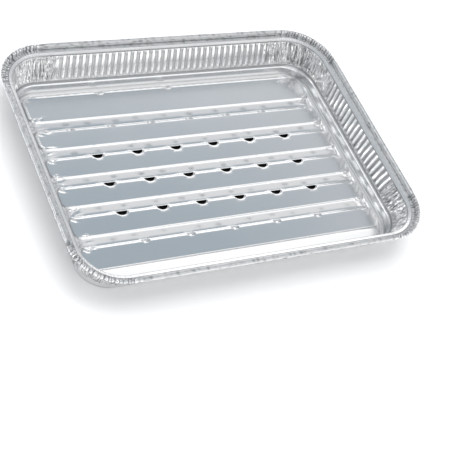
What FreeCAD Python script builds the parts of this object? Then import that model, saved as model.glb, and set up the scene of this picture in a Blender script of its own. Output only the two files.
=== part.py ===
import FreeCAD, Part
import math
import os

import Sketcher

# Perforated grill tray pressed from one sheet of foil. Millimetres, +Z up.
# Origin: middle of the tray, in the plane it stands on. +X along the length, +Y to the rear.

doc = FreeCAD.newDocument("grill_tray")

# ---------------------------------------------------------------- sizes
SIZES = [
    ("foil", 0.2, "sheet thickness"),
    ("rim_length", 325.0, "over the rolled rim"),
    ("rim_width", 250.0, "over the rolled rim"),
    ("rim_height", 39.0, "top of the rolled rim"),
    ("rim_corner", 42.0, "outer corner radius of the rolled rim"),
    ("rim_band", 10.5, "rolled rim and flange together, in plan"),
    ("curl_radius", 2.0, "middle of the sheet in the rolled rim"),
    ("curl_rise", 2.2, "centre of the roll above the flange"),
    ("crease_radius", 0.7, "fold between flange and roll"),
    ("lip_radius", 0.8, "turned-down inner edge of the flange"),
    ("ledge_height", 11.0, "shelf at the foot of the pleats"),
    ("ledge_inset", 0.6, "shelf in front of the pleat crests"),
    ("ledge_width", 2.4, "shelf at the foot of the pleats"),
    ("long_draft", 9.2, "how far the long walls lean in over the pleats"),
    ("short_draft", 3.0, "how far the short walls lean in over the pleats"),
    ("wall_setback", 0.9, "pleat crests behind the flange edge"),
    ("pleat_depth", 1.1, "crest to valley"),
    ("pleat_wall", 0.3, "pleated sheet measured level"),
    ("foot_corner", 27.0, "corner radius at the foot of the pleats"),
    ("pan_slope", 77.0, "smooth band below the shelf, degrees from level"),
    ("pan_bevel", 1.8, "softened bend between that band and the trough"),
    ("plateau_height", 5.0, "flat cooking bands above the trough"),
    ("plateau_length", 277.0, "flat bands, end to end"),
    ("plateau_slope", 50.0, "flanks of the bands, degrees from level"),
    ("plateau_corner", 5.5, "corner radius of the bands at the top"),
    ("plateau_bevel", 1.0, "softened top edges of the bands"),
    ("rear_limit", 94.0, "rear edge of the last band"),
    ("front_limit", 87.5, "front edge of the first band"),
    ("groove_pitch", 30.4, "groove to groove"),
    ("groove_width", 11.0, "between two bands, at the top"),
    ("groove_floor", 3.4, "groove bottoms above the trough"),
    ("groove_reach", 272.0, "length of the raised groove bottoms"),
    ("slot_pitch", 36.6, "perforations along a groove"),
    ("slot_radius", 5.25, "half-round perforation"),
    ("slot_inset", 2.5, "centre of the half-round behind the band's edge"),
    ("slot_flat", 1.0, "straight side of the perforation in front of that centre"),
    ("scallop_radius", 6.3, "bite in the band above a perforation"),
    ("scallop_slope", 73.0, "sides of the bite, degrees from level"),
    ("dimple_pitch_front", 41.2, "plain dimples in the first groove"),
    ("dimple_pitch_rear", 37.4, "plain dimples in the last groove"),
    ("dimple_shift_rear", -12.5, "middle of that row from the middle of the tray"),
    ("dimple_radius", 3.6, "plain dimples in the outer grooves"),
    ("dimple_depth", 1.3, "plain dimples in the outer grooves"),
    ("dimple_inset", 1.2, "centre of a dimple behind the band's edge"),
]

GROOVES = 5
SLOTS_PER_GROOVE = 6
LONG_PLEATS = 40
SHORT_PLEATS = 26
CORNER_PLEATS = 12

sheet = doc.addObject("Spreadsheet::Sheet", "Sizes")
for row, (name, value, note) in enumerate(SIZES, start=1):
    sheet.set("A%d" % row, name)
    sheet.set("B%d" % row, str(value))
    sheet.set("C%d" % row, note)
    sheet.setAlias("B%d" % row, name)
doc.recompute()


def size(name):
    return float(sheet.get(name))


# ---------------------------------------------------------------- sketch helpers
def new_sketch(body, name, level="0", plane="XY_Plane"):
    """Empty sketch on one of the body's own planes, raised by the expression level."""
    support = [p for p in body.Origin.OriginFeatures if p.Role == plane][0]
    sketch = body.newObject("Sketcher::SketchObject", name)
    sketch.AttachmentSupport = (support, [""])
    sketch.MapMode = "FlatFace"
    sketch.setExpression("AttachmentOffset.Base.z", level)
    doc.recompute()
    return sketch


def bind(sketch, name, kind, refs, expression):
    """Driving constraint whose value follows an expression."""
    value = float(sketch.evalExpression(expression))
    if kind in ("DistanceX", "DistanceY") and value < 0:
        refs = refs[2:] + refs[:2]
        expression = "-(%s)" % expression
        value = -value
    index = sketch.addConstraint(Sketcher.Constraint(kind, *refs, value))
    sketch.renameConstraint(index, name)
    sketch.setExpression("Constraints." + name, expression)


def rounded_rectangle(sketch, tag, right, rear, corner, left=None, front=None):
    """Rounded rectangle between four limits and with one corner radius, all expressions."""
    left = left or "-(%s)" % right
    front = front or "-(%s)" % rear
    x0, x1, y0, y1, r = [float(sketch.evalExpression(e)) for e in (left, right, front, rear, corner)]
    up = FreeCAD.Vector(0, 0, 1)
    corners = [(x1 - r, y0 + r, -90), (x1 - r, y1 - r, 0), (x0 + r, y1 - r, 90), (x0 + r, y0 + r, 180)]
    starts = [(x0 + r, y0), (x1, y0 + r), (x1 - r, y1), (x0, y1 - r)]
    ends = [(x1 - r, y0), (x1, y1 - r), (x0 + r, y1), (x0, y0 + r)]
    lines = []
    arcs = []
    for (sx, sy), (ex, ey), (cx, cy, angle) in zip(starts, ends, corners):
        line = Part.LineSegment(FreeCAD.Vector(sx, sy, 0), FreeCAD.Vector(ex, ey, 0))
        circle = Part.Circle(FreeCAD.Vector(cx, cy, 0), up, r)
        arc = Part.ArcOfCircle(circle, math.radians(angle), math.radians(angle + 90))
        lines.append(sketch.addGeometry(line))
        arcs.append(sketch.addGeometry(arc))
    for i in range(4):
        sketch.addConstraint(Sketcher.Constraint("Tangent", lines[i], 2, arcs[i], 1))
        sketch.addConstraint(Sketcher.Constraint("Tangent", arcs[i], 2, lines[(i + 1) % 4], 1))
    for i in range(1, 4):
        sketch.addConstraint(Sketcher.Constraint("Equal", arcs[0], arcs[i]))
    for i, kind in enumerate(("Horizontal", "Vertical", "Horizontal", "Vertical")):
        sketch.addConstraint(Sketcher.Constraint(kind, lines[i]))
    bind(sketch, tag + "_front", "DistanceY", (-1, 1, lines[0], 1), front)
    bind(sketch, tag + "_right", "DistanceX", (-1, 1, lines[1], 1), right)
    bind(sketch, tag + "_rear", "DistanceY", (-1, 1, lines[2], 1), rear)
    bind(sketch, tag + "_left", "DistanceX", (-1, 1, lines[3], 1), left)
    bind(sketch, tag + "_corner", "Radius", (arcs[0],), corner)


def round_hole(sketch, tag, x, y, radius):
    """Circle whose centre and radius are expressions."""
    at = FreeCAD.Vector(float(sketch.evalExpression(x)), float(sketch.evalExpression(y)), 0)
    r = float(sketch.evalExpression(radius))
    circle = sketch.addGeometry(Part.Circle(at, FreeCAD.Vector(0, 0, 1), r))
    bind(sketch, tag + "_x", "DistanceX", (-1, 1, circle, 3), x)
    bind(sketch, tag + "_y", "DistanceY", (-1, 1, circle, 3), y)
    bind(sketch, tag + "_radius", "Radius", (circle,), radius)


def pointed_hole(sketch, tag, x, y, reach):
    """Square standing on its corner, with its centre and half diagonal as expressions."""
    cx, cy, half = [float(sketch.evalExpression(e)) for e in (x, y, reach)]
    places = [(cx + half, cy), (cx, cy + half), (cx - half, cy), (cx, cy - half)]
    corners = [FreeCAD.Vector(px, py, 0) for px, py in places]
    sides = []
    for i in range(4):
        sides.append(sketch.addGeometry(Part.LineSegment(corners[i], corners[(i + 1) % 4])))
    for i in range(4):
        sketch.addConstraint(Sketcher.Constraint("Coincident", sides[i], 2, sides[(i + 1) % 4], 1))
    further, nearer = " + (%s)" % reach, " - (%s)" % reach
    for i, (to_x, to_y) in enumerate(((further, ""), ("", further), (nearer, ""), ("", nearer))):
        bind(sketch, "%s_x%d" % (tag, i), "DistanceX", (-1, 1, sides[i], 1), x + to_x)
        bind(sketch, "%s_y%d" % (tag, i), "DistanceY", (-1, 1, sides[i], 1), y + to_y)


def pad(body, sketch, name, height, taper="0"):
    """Pad upwards; a positive taper makes it wider towards the top."""
    feature = body.newObject("PartDesign::Pad", name)
    feature.Profile = sketch
    feature.setExpression("Length", height)
    feature.setExpression("TaperAngle", taper)
    doc.recompute()
    return feature


def pocket(body, sketch, name, depth, taper="0"):
    """Pocket downwards from the sketch; a negative taper makes it narrower with depth."""
    feature = body.newObject("PartDesign::Pocket", name)
    feature.Profile = sketch
    feature.setExpression("Length", depth)
    feature.setExpression("TaperAngle", taper)
    doc.recompute()
    return feature


def chamfer(body, base, name, amount, wanted):
    """Bevel the edges of base for which wanted(edge, its faces) holds."""
    edges = []
    for number, edge in enumerate(base.Shape.Edges, start=1):
        if wanted(edge, base.Shape.ancestorsOfType(edge, Part.Face)):
            edges.append("Edge%d" % number)
    feature = body.newObject("PartDesign::Chamfer", name)
    feature.Base = (base, edges)
    feature.setExpression("Size", amount)
    doc.recompute()
    return feature


def level_at(z):
    """Test for edges that lie in the level plane at height z."""
    def test(edge, faces):
        box = edge.BoundBox
        return abs(box.ZMin - z) < 1e-4 and abs(box.ZMax - z) < 1e-4
    return test


# ---------------------------------------------------------------- floor of the tray
# Every pressed surface is drawn twice, as the form below the sheet and the form above it.
# Level distances between the two follow from the slope, so that the sheet stays evenly thick.
SKINS = {
    "under": {"lift": "0", "grow": "0"},
    "top": {"lift": "Sizes.foil", "grow": "Sizes.foil"},
}


def shift(slope, grow):
    """Level distance between the two sides of a sheet with this slope, at their own levels."""
    return "%s * tan(Sizes.%s / 2)" % (grow, slope)


def band_edges(groove):
    """Front edge of the band behind a groove and rear edge of the one in front of it."""
    middle = "Sizes.groove_pitch * %g" % (groove - (GROOVES - 1) / 2)
    return "%s + Sizes.groove_width / 2" % middle, "%s - Sizes.groove_width / 2" % middle


def slot_places():
    """Expressions for x and for the band's edge at every perforation of the middle grooves."""
    places = []
    for groove in range(1, GROOVES - 1):
        edge = band_edges(groove)[1]
        for slot in range(SLOTS_PER_GROOVE):
            x = "Sizes.slot_pitch * %g" % (slot - (SLOTS_PER_GROOVE - 1) / 2)
            places.append((x, edge))
    return places


def dimple_places():
    """The same for the plain dimples in the first and last grooves and behind the last band."""
    first, last = band_edges(0)[1], band_edges(GROOVES - 1)[1]
    front_row = [("Sizes.dimple_pitch_front * %g" % step, first) for step in (-2, -1, 0, 1, 2)]
    behind_rows = [("Sizes.dimple_pitch_front * %g" % step, "Sizes.rear_limit") for step in (-1.6, 0)]
    rear_row = []
    for step in (-2.5, -1.5, -0.5, 0.5, 1.5, 2.5):
        rear_row.append(("Sizes.dimple_pitch_rear * %g + Sizes.dimple_shift_rear" % step, last))
    return front_row + rear_row + behind_rows


def make_pressed_form(skin):
    """Solid under one side of the sheet: six flat bands with raised groove bottoms between."""
    lift, grow = SKINS[skin]["lift"], SKINS[skin]["grow"]
    # The form under the sheet starts below it, so that it cuts cleanly through the pan.
    base = "-Sizes.foil * 5" if skin == "under" else "0"
    top = "(Sizes.plateau_height + %s)" % lift
    run = "((%s - %s) / tan(Sizes.plateau_slope) + %s)" % (top, base, shift("plateau_slope", grow))
    body = doc.addObject("PartDesign::Body", "pressed_form_" + skin)

    fronts = ["-Sizes.front_limit"]
    rears = []
    for groove in range(GROOVES):
        behind, before = band_edges(groove)
        fronts.append(behind)
        rears.append(before)
    rears.append("Sizes.rear_limit")
    bands = new_sketch(body, "bands_" + skin, base)
    half = "Sizes.plateau_length / 2 + " + run
    for number, (front, rear) in enumerate(zip(fronts, rears), start=1):
        rounded_rectangle(
            bands, "band%d" % number, half, "%s + %s" % (rear, run),
            "Sizes.plateau_corner + " + run, front="%s - %s" % (front, run),
        )
    pad(body, bands, "raised_bands_" + skin, "%s - %s" % (top, base), "Sizes.plateau_slope - 90")
    z_top = float(bands.evalExpression(top))

    floor_top = "(Sizes.groove_floor + %s)" % lift
    spread = shift("plateau_slope", grow)
    floor_run = "((%s - %s) / tan(Sizes.plateau_slope) + %s)" % (floor_top, base, spread)
    bottoms = new_sketch(body, "groove_bottoms_" + skin, base)
    rounded_rectangle(
        bottoms, "bottoms", "Sizes.groove_reach / 2 + " + floor_run,
        "Sizes.groove_pitch * 2.3 + " + floor_run, "2 + " + floor_run,
    )
    pad(body, bottoms, "raised_bottoms_" + skin, "%s - %s" % (floor_top, base), "Sizes.plateau_slope - 90")

    bevel = "Sizes.plateau_bevel + %s - %s * tan(Sizes.plateau_slope / 4)" % (spread, grow)
    chamfer(body, body.Tip, "band_edges_" + skin, bevel, level_at(z_top))

    # Half-round bites in the rear edge of a band: deep ones over the perforations, shallow dimples.
    # The void belongs to the top side, so here the form under the sheet has the wider bite.
    wider = "Sizes.foil" if skin == "under" else "0"
    bites = new_sketch(body, "bites_" + skin, top)
    for number, (x, edge) in enumerate(slot_places(), start=1):
        round_hole(
            bites, "bite%d" % number, x, edge + " + Sizes.slot_inset",
            "Sizes.scallop_radius + " + shift("scallop_slope", wider),
        )
    bite_depth = "Sizes.plateau_height - Sizes.groove_floor"
    pocket(body, bites, "bitten_" + skin, bite_depth, "Sizes.scallop_slope - 90")
    dimples = new_sketch(body, "dimples_" + skin, top)
    for number, (x, edge) in enumerate(dimple_places(), start=1):
        pointed_hole(
            dimples, "dimple%d" % number, x, edge + " + Sizes.dimple_inset",
            "Sizes.dimple_radius + 1.4 * " + shift("plateau_slope", wider),
        )
    pocket(body, dimples, "dimpled_" + skin, "Sizes.dimple_depth", "Sizes.plateau_slope - 90")
    return body


# ---------------------------------------------------------------- pan around the floor
FOOT_X = "(Sizes.rim_length / 2 - Sizes.rim_band + Sizes.wall_setback - Sizes.short_draft)"
FOOT_Y = "(Sizes.rim_width / 2 - Sizes.rim_band + Sizes.wall_setback - Sizes.long_draft)"


def make_pan_form(skin):
    """Solid inside one side of the sheet: the smooth band with the shelf for the pleats on top."""
    under = skin == "under"
    base = "0" if under else "Sizes.foil"
    shelf = "(Sizes.ledge_height - Sizes.foil)" if under else "Sizes.ledge_height"
    body = doc.addObject("PartDesign::Body", "pan_form_" + skin)
    lean = "((Sizes.ledge_height - Sizes.foil) / tan(Sizes.pan_slope))"
    out = "Sizes.ledge_inset - " + lean
    inward = "-Sizes.ledge_inset - " + lean
    if under:
        inward += " + " + shift("pan_slope", "Sizes.foil")
    block = new_sketch(body, "trough_" + skin, base)
    rounded_rectangle(block, "trough", FOOT_X + inward, FOOT_Y + inward, "Sizes.foot_corner" + inward)
    pad(body, block, "band_" + skin, "%s - %s" % (shelf, base), "90 - Sizes.pan_slope")

    # Above the shelf the inside is open, so that form is only there to cut.
    reach = "Sizes.ledge_width - Sizes.ledge_inset" if under else "Sizes.ledge_width * 2"
    plate = new_sketch(body, "shelf_" + skin, shelf)
    rounded_rectangle(
        plate, "shelf", "%s + %s" % (FOOT_X, reach), "%s + %s" % (FOOT_Y, reach),
        "Sizes.foot_corner + " + reach,
    )
    whole = pad(body, plate, "shelf_plate_" + skin, "Sizes.foil" if under else "Sizes.ledge_width")
    z_base = float(plate.evalExpression(base))
    bevel = "Sizes.pan_bevel"
    if under:
        bevel += " + Sizes.foil * (tan(Sizes.pan_slope / 2) - tan(Sizes.pan_slope / 4))"
    chamfer(body, whole, "trough_bend_" + skin, bevel, level_at(z_base))
    return body


def cut(name, base, tool):
    feature = doc.addObject("Part::Cut", name)
    feature.Base = base
    feature.Tool = tool
    doc.recompute()
    return feature


def make_slot_cutter():
    """Half-round punches for the perforations, straight side towards the groove."""
    body = doc.addObject("PartDesign::Body", "slot_punches")
    sketch = new_sketch(body, "half_rounds", "Sizes.groove_floor / 2")
    for number, (x, edge) in enumerate(slot_places(), start=1):
        y = edge + " + Sizes.slot_inset"
        cx, cy = float(sketch.evalExpression(x)), float(sketch.evalExpression(y))
        radius, flat = size("slot_radius"), size("slot_flat")
        angle = -math.asin(flat / radius)
        circle = Part.Circle(FreeCAD.Vector(cx, cy, 0), FreeCAD.Vector(0, 0, 1), radius)
        arc = sketch.addGeometry(Part.ArcOfCircle(circle, math.pi - angle, 2 * math.pi + angle))
        half = radius * math.cos(angle)
        left = FreeCAD.Vector(cx - half, cy - flat, 0)
        right = FreeCAD.Vector(cx + half, cy - flat, 0)
        chord = sketch.addGeometry(Part.LineSegment(right, left))
        sketch.addConstraint(Sketcher.Constraint("Coincident", arc, 2, chord, 1))
        sketch.addConstraint(Sketcher.Constraint("Coincident", chord, 2, arc, 1))
        sketch.addConstraint(Sketcher.Constraint("Horizontal", chord))
        tag = "slot%d" % number
        bind(sketch, tag + "_x", "DistanceX", (-1, 1, arc, 3), x)
        bind(sketch, tag + "_y", "DistanceY", (-1, 1, arc, 3), y)
        bind(sketch, tag + "_radius", "Radius", (arc,), "Sizes.slot_radius")
        bind(sketch, tag + "_flat", "DistanceY", (chord, 1, arc, 3), "Sizes.slot_flat")
    doc.recompute()
    pad(body, sketch, "punches", "Sizes.groove_floor")
    return body


# ---------------------------------------------------------------- pleated wall
def rounded_outline_point(half_x, half_y, corner, side, along, outward):
    """Point on a rounded rectangle: side 0 to 7 are straights and corners in turn from the right."""
    turn = math.radians(90 * (side // 2))
    reach = half_x if side % 4 < 2 else half_y
    width = half_y if side % 4 < 2 else half_x
    if side % 2 == 0:
        x, y = reach + outward, (width - corner) * (2 * along - 1)
    else:
        angle = math.radians(90) * along
        x = reach - corner + (corner + outward) * math.cos(angle)
        y = width - corner + (corner + outward) * math.sin(angle)
    return (x * math.cos(turn) - y * math.sin(turn), x * math.sin(turn) + y * math.cos(turn))


def pleat_steps():
    """Side, place along it and depth (0 crest, 1 valley) of every fold, right round the tray."""
    steps = []
    for side in range(8):
        if side % 2:
            for pleat in range(CORNER_PLEATS):
                steps.append((side, (pleat + 0.25) / CORNER_PLEATS, 0.0))
                steps.append((side, (pleat + 0.75) / CORNER_PLEATS, 0.8))
        else:
            count = SHORT_PLEATS if side % 4 == 0 else LONG_PLEATS
            for pleat in range(count):
                steps.append((side, (pleat + 0.3) / count, 0.0))
                steps.append((side, (pleat + 0.7) / count, 1.0))
    return steps


def pleat_ring(z, outward):
    """Zigzag outline of one side of the pleated wall at height z."""
    foot, head = size("ledge_height"), flange_height()
    part = (z - foot) / (head - foot)
    behind_flange = size("wall_setback") - size("rim_band")
    half_x = size("rim_length") / 2 + behind_flange - (1 - part) * size("short_draft")
    half_y = size("rim_width") / 2 + behind_flange - (1 - part) * size("long_draft")
    head_corner = size("rim_corner") - size("rim_band")
    corner = size("foot_corner") + part * (head_corner - size("foot_corner"))
    ring = []
    for side, along, depth in pleat_steps():
        reach = outward + depth * size("pleat_depth")
        x, y = rounded_outline_point(half_x, half_y, corner, side, along, reach)
        ring.append(FreeCAD.Vector(x, y, z))
    return ring


def flat_faces(points):
    """One face for four points in a plane, two triangles when they are twisted."""
    a, b, c, d = points
    normal = (b - a).cross(c - a).normalize()
    if abs(normal.dot(d - a)) < 1e-7:
        return [Part.Face(Part.makePolygon([a, b, c, d, a]))]
    return [Part.Face(Part.makePolygon([a, b, c, a])), Part.Face(Part.makePolygon([a, c, d, a]))]


def make_pleated_wall():
    """Closed solid of the folded wall between the shelf and the flange."""
    # Both ends stop half-way through the sheet of the shelf and of the flange.
    foot = size("ledge_height") - size("foil") / 2
    head = flange_height()
    inner = [pleat_ring(foot, 0), pleat_ring(head, 0)]
    outer = [pleat_ring(foot, size("pleat_wall")), pleat_ring(head, size("pleat_wall"))]
    faces = []
    for i in range(len(inner[0])):
        j = (i + 1) % len(inner[0])
        faces += flat_faces([outer[0][i], outer[0][j], outer[1][j], outer[1][i]])
        faces += flat_faces([inner[0][j], inner[0][i], inner[1][i], inner[1][j]])
    for end in (0, 1):
        around = Part.makePolygon(outer[end] + outer[end][:1])
        hole = inner[end][::-1]
        faces.append(Part.Face([around, Part.makePolygon(hole + hole[:1])]))
    # The lower end face looks down, so that the whole shell looks outward.
    faces[-2].reverse()
    shell = Part.makeShell(faces)
    shell.sewShape()
    solid = Part.makeSolid(shell)
    feature = doc.addObject("Part::Feature", "pleated_wall")
    feature.Shape = solid
    return feature


# ---------------------------------------------------------------- flange and rolled rim
def flange_height():
    """Middle of the flange sheet."""
    return size("rim_height") - size("curl_rise") - size("curl_radius") - size("foil") / 2


def bent_line(start, heading, moves):
    """Middle line of a bent sheet in short flats, from straight lengths and turns in degrees."""
    x, y = start
    turn = math.radians(heading)
    line = [(x, y)]
    for length, radius, angle, flats in moves:
        if angle:
            step = math.radians(angle) / flats
            chord = 2 * radius * math.sin(abs(step) / 2)
            for _ in range(flats):
                turn += step / 2
                x, y = x + chord * math.cos(turn), y + chord * math.sin(turn)
                turn += step / 2
                line.append((x, y))
        else:
            x, y = x + length * math.cos(turn), y + length * math.sin(turn)
            line.append((x, y))
    return line


def add_strip(sketch, line, thick):
    """Closed outline of a strip of the given thickness along a middle line."""
    sides = {1: [], -1: []}
    for i, (x, y) in enumerate(line):
        before = line[max(i - 1, 0)]
        after = line[min(i + 1, len(line) - 1)]
        here = [(x - before[0], y - before[1]), (after[0] - x, after[1] - y)]
        normals = [(-dy / math.hypot(dx, dy), dx / math.hypot(dx, dy)) for dx, dy in here if dx or dy]
        nx, ny = [sum(values) / len(normals) for values in zip(*normals)]
        scale = thick / 2 / (nx * nx + ny * ny)
        for side in sides:
            sides[side].append(FreeCAD.Vector(x + side * nx * scale, y + side * ny * scale, 0))
    outline = sides[1] + sides[-1][::-1]
    edges = []
    for a, b in zip(outline, outline[1:] + outline[:1]):
        edges.append(sketch.addGeometry(Part.LineSegment(a, b)))
    for i, edge in enumerate(edges):
        sketch.addConstraint(Sketcher.Constraint("Coincident", edge, 2, edges[(i + 1) % len(edges)], 1))


def make_rim():
    """Flange with a turned-down inner edge and a rolled outer edge, carried round the tray."""
    body = doc.addObject("PartDesign::Body", "rolled_rim")
    level = "(Sizes.rim_height - Sizes.curl_rise - Sizes.curl_radius - Sizes.foil / 2)"
    path = new_sketch(body, "rim_path", level)
    rounded_rectangle(
        path, "path", "Sizes.rim_length / 2 - Sizes.rim_band", "Sizes.rim_width / 2 - Sizes.rim_band",
        "Sizes.rim_corner - Sizes.rim_band",
    )
    # The section stands where the path starts, at the left end of the front straight.
    section = new_sketch(body, "rim_section", "-(Sizes.rim_length / 2 - Sizes.rim_corner)", "YZ_Plane")
    lip = size("lip_radius")
    flat = (
        size("rim_band") - lip - size("crease_radius") - 2 * size("curl_radius") - size("foil") / 2
    )
    edge = -(size("rim_width") / 2 - size("rim_band"))
    start = (edge - lip * (1 - math.cos(math.radians(30))), flange_height() - lip * 0.5)
    rise = size("curl_rise") - size("crease_radius")
    middle_line = bent_line(start, 120, [
        (0, lip, 60, 1),
        (flat, 0, 0, 0),
        (0, size("crease_radius"), -90, 1),
        (rise, 0, 0, 0),
        (0, size("curl_radius"), 250, 7),
    ])
    add_strip(section, middle_line, size("foil"))
    doc.recompute()
    sweep = body.newObject("PartDesign::AdditivePipe", "rim_sweep")
    sweep.Profile = section
    sweep.Spine = (path, ["Edge%d" % (i + 1) for i in range(len(path.Shape.Edges))])
    doc.recompute()
    return body


# ---------------------------------------------------------------- the whole tray
def make_tray():
    pan = {skin: make_pan_form(skin) for skin in SKINS}
    pressed = {skin: make_pressed_form(skin) for skin in SKINS}
    outside = cut("pan_underside", pan["under"], pressed["under"])
    inside = cut("pan_space", pan["top"], pressed["top"])
    sheet_pan = cut("pressed_pan", outside, inside)
    perforated = cut("perforated_pan", sheet_pan, make_slot_cutter())
    tray = doc.addObject("Part::MultiFuse", "grill_tray")
    tray.Shapes = [perforated, make_pleated_wall(), make_rim()]
    tray.Refine = False
    doc.recompute()
    tray.Label = "grill_tray"
    tray.Placement = FreeCAD.Placement()
    return tray


def check(parts):
    """Stop before anything is written if a feature or a solid is wrong."""
    for obj in doc.Objects:
        if "Invalid" in obj.State or "Error" in obj.State:
            raise RuntimeError("%s is not up to date: %s" % (obj.Name, obj.State))
    for part in parts:
        if part.Shape.isNull() or not part.Shape.isValid() or len(part.Shape.Solids) != 1:
            raise RuntimeError("%s is not one valid solid" % part.Label)


tray = make_tray()
check([tray])
os.makedirs("parts", exist_ok=True)
for part in (tray,):
    part.Shape.exportStep("parts/%s.step" % part.Label)
    print(part.Label, "volume %.0f mm3" % part.Shape.Volume, part.Shape.BoundBox)
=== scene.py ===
import math

import bpy
import numpy as np
from mathutils import Euler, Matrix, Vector
from mathutils.geometry import delaunay_2d_cdt


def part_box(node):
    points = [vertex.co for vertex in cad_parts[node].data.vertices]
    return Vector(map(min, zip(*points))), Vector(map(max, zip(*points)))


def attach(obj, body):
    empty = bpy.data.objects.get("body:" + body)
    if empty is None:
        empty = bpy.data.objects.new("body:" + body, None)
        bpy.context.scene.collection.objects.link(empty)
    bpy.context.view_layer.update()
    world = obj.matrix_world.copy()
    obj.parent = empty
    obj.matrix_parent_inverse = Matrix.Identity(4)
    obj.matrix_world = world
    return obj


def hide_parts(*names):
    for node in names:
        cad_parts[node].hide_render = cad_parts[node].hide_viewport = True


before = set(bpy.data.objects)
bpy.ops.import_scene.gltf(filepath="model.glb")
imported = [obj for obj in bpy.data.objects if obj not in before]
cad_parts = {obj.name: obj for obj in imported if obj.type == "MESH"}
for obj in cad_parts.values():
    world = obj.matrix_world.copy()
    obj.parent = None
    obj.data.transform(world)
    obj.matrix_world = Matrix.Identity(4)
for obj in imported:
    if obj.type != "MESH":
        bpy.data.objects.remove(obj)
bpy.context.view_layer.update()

# Foil grill tray: ridged floor with half-round drain holes, pleated walls, flange and rolled rim.
# Lengths are in millimetres until they reach Blender; MM turns them into metres.
MM = 0.001

low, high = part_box("grill_tray")
RIM_LENGTH = round((high.x - low.x) / MM)
RIM_WIDTH = round((high.y - low.y) / MM)
TOP_MARGIN = 0.2        # keeps the roll's dents under the rim's measured top
RIM_TOP = math.floor((high.z - low.z) / MM * 10) / 10 - TOP_MARGIN

SHEET = 0.2             # thickness of the foil
DRAWN_SHARE = 0.9       # share of it that is drawn, so that both skins stay inside the part
RIM_BAND = 10.5         # flange and roll together
FLANGE_LEVEL = RIM_TOP - 4.3
ROLL_RADIUS = 2.0       # middle of the foil in the roll
ROLL_TURN = 290         # degrees that the foil turns in the roll
ROLL_STEPS = 14
SET_IN = 0.15           # keeps the roll's outer side inside the rim's measured outline
EDGE_X = RIM_LENGTH / 2 - RIM_BAND - SET_IN     # inner edge of the flange
EDGE_Y = RIM_WIDTH / 2 - RIM_BAND - SET_IN
EDGE_CORNER = 31.5
SHARE_X = 0.758         # how far the corner's radius follows a shift of the sides in x and in y
SHARE_Y = 0.242
SHARP_FROM = 38         # degrees between faces from which an edge is shown sharp

TROUGH_IN_X = 7.7       # outline of the trough's bottom inside the flange's inner edge
TROUGH_IN_Y = 13.9
TROUGH_LEVEL = SHEET / 2
BAND_LEVEL = 5 + SHEET / 2            # flat cooking bands
BAND_END = 138.5
BAND_CORNER = 5.5
REAR_LIMIT = 94.0       # rear edge of the last band, and front edge of the first
FRONT_LIMIT = 87.5
BAND_FOOT = 3.7         # how far inside the trough's outer edge a band's end falls at the latest
LIP_DROP = 0.7          # rounded lip along the front edge of each band
FRONT_RUN = 15.0        # length of the slope before the first band, and before each of the others
GROOVE_RUN = 9.4
END_FADE = (131.0, 134.0)       # from the middle, where the marks of the bands' ends begin
END_BEAD = 0.6          # bead along the ends of the bands
REAR_BEAD = 0.58        # bead along the rear edge of the last band
BEAD_INSET = 0.7        # crest of a bead inside the band's edge
BEAD_WIDTH = 0.8

GROOVE_DEPTH = 2.3
GROOVE_FADE = (134.5, 141.0)    # from the middle, where a groove runs out into the trough
GROOVE_PITCH = 30.4
GROOVE_WIDTH = 11.0
GROOVES = 5
SLOT_PITCH = 36.6       # half-round drain holes, flat side to the rear
SLOTS = 6
SLOT_RADIUS = 5.25
SLOT_INSET = 2.5
SLOT_FLAT = -1.0
FLARE_DEPTH = 1.2       # how far the foil is drawn down at the edge of a hole
FLARE_WIDTH = 2.1
DIMPLE_RADIUS = 4.4
DIMPLE_DEPTH = 2.0
DIMPLE_INSET = 0.6      # middle of a dimple behind the edge of its band
# Dimples behind the first band and behind the last two: band, pitch, shift, places in pitches.
DIMPLES = (
    (0, 41.2, 0.0, (-2, -1, 0, 1, 2)),
    (GROOVES - 1, 37.4, -12.5, (-2.5, -1.5, -0.5, 0.5, 1.5, 2.5)),
    (GROOVES, 41.2, 0.0, (-1.6, 0)),
)

LONG_PLEATS = 40
SHORT_PLEATS = 26
CORNER_PLEATS = 12
PLEAT_DEPTH = 1.6
CRUMPLE_DEPTH = 2.4     # irregular folds that take the place of the pleats at the corners
TICK_PITCH = 2.2        # close crimps round the corners of the flange and the roll
FLANGE_TICK = 0.15
RIM_TICK = 0.75
SHORT_RUN = 83          # rounded lengths of half a short side, a corner and half a long side
CORNER_RUN = 47
LONG_RUN = 120
DIAGONAL = 0.71         # near enough to the cosine of 45 degrees
CREASE_SEED = 11
SPOT_SEED = 5

# Rows of points along a band, as distances outside its rear edge, its front edge and its ends.
REAR_ROWS = (-4.0, -2.4, -1.7, -1.3, -0.9, -0.5, -0.1, 0.3, 0.7, 1.1, 1.4, 1.7, 2.1, 2.8)
FRONT_ROWS = (-3.0, -1.4, -0.5, -0.1, 0.1, 0.25, 0.4, 0.55, 0.7, 0.9, 1.2, 1.9, 3.0, 4.2, 5.4, 6.6)
END_ROWS = (-1.4, -1.0, -0.7, -0.4, 0.0, 0.4, 0.8, 1.3, 2.0, 2.8, 3.6)
DIMPLE_RINGS = (0.0, 0.8, 1.6, 2.3, 2.9, 3.5, 4.0, 4.4, 4.8)
SLOT_RINGS = (0.3, 0.6, 1.0, 1.45, 2.0)     # outside the hole's edge
SLOT_ROWS = (-0.5, 0.1, 0.8, 1.6, 2.6, 3.8)     # behind the flat side

FOIL_TINT = (0.96, 0.965, 0.97)
WALL_TINT = (0.99, 0.99, 0.99)
# near-black colour of the painted shade in folds, creases and crevices
PAINTED_SHADE_TINT = (0.10, 0.11, 0.12)
SURROUND_TINT = (0.60, 0.61, 0.63)

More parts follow.
